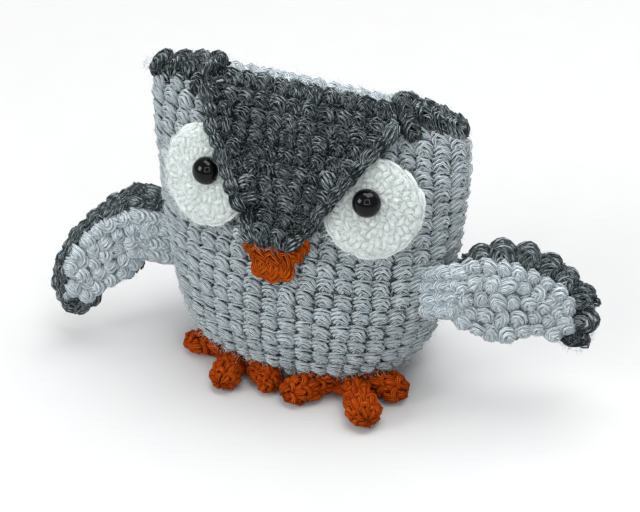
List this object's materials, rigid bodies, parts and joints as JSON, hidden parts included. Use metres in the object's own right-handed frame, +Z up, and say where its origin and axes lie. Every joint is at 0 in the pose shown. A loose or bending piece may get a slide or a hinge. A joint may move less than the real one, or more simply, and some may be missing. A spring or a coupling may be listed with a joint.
{
  "type": "plush owl",
  "caption": "Small stuffed crocheted owl with a dark face mask, round white eye patches, two-layer wings that swing on their sewn roots, and orange feet.",
  "frame": {"origin": "middle of the flat base that the owl stands on, at the floor", "axes": "+Z up, the owl faces -Y, its own left side is +X"},
  "size_m": [0.1797, 0.0703, 0.1034],
  "materials": {
    "light_yarn": "light blue-grey worsted yarn, single crochet, slightly fuzzy",
    "dark_yarn": "dark heathered grey worsted yarn, crocheted, slightly fuzzy",
    "white_yarn": "white worsted yarn crocheted in rounds",
    "orange_yarn": "burnt orange worsted yarn, crocheted",
    "eye_plastic": "polished black",
    "washer_plastic": "natural moulded",
    "stuffing": "loose polyester fibre fill"
  },
  "bodies": {
    "body": {"body_cover": "light_yarn", "body_stuffing": "stuffing", "face_mask": "dark_yarn", "beak": "orange_yarn", "left_eye_patch": "white_yarn", "right_eye_patch": "white_yarn", "left_eye": "eye_plastic", "right_eye": "eye_plastic", "left_eye_washer": "washer_plastic", "right_eye_washer": "washer_plastic", "left_ear_cap": "dark_yarn", "right_ear_cap": "dark_yarn", "left_foot": "orange_yarn", "right_foot": "orange_yarn"},
    "left_wing": {"left_wing_front": "light_yarn", "left_wing_back": "dark_yarn"},
    "right_wing": {"right_wing_front": "light_yarn", "right_wing_back": "dark_yarn"}
  },
  "joints": [
    {"name": "left_wing_swing", "type": "hinge", "parent": "body", "child": "left_wing", "pos_m": [0.05171, -0.0125, 0.041], "axis": [0, 0, 1], "range_deg": [-60, 20]},
    {"name": "right_wing_swing", "type": "hinge", "parent": "body", "child": "right_wing", "pos_m": [-0.05277, -0.01, 0.041], "axis": [0, 0, -1], "range_deg": [-30, 55]}
  ]
}
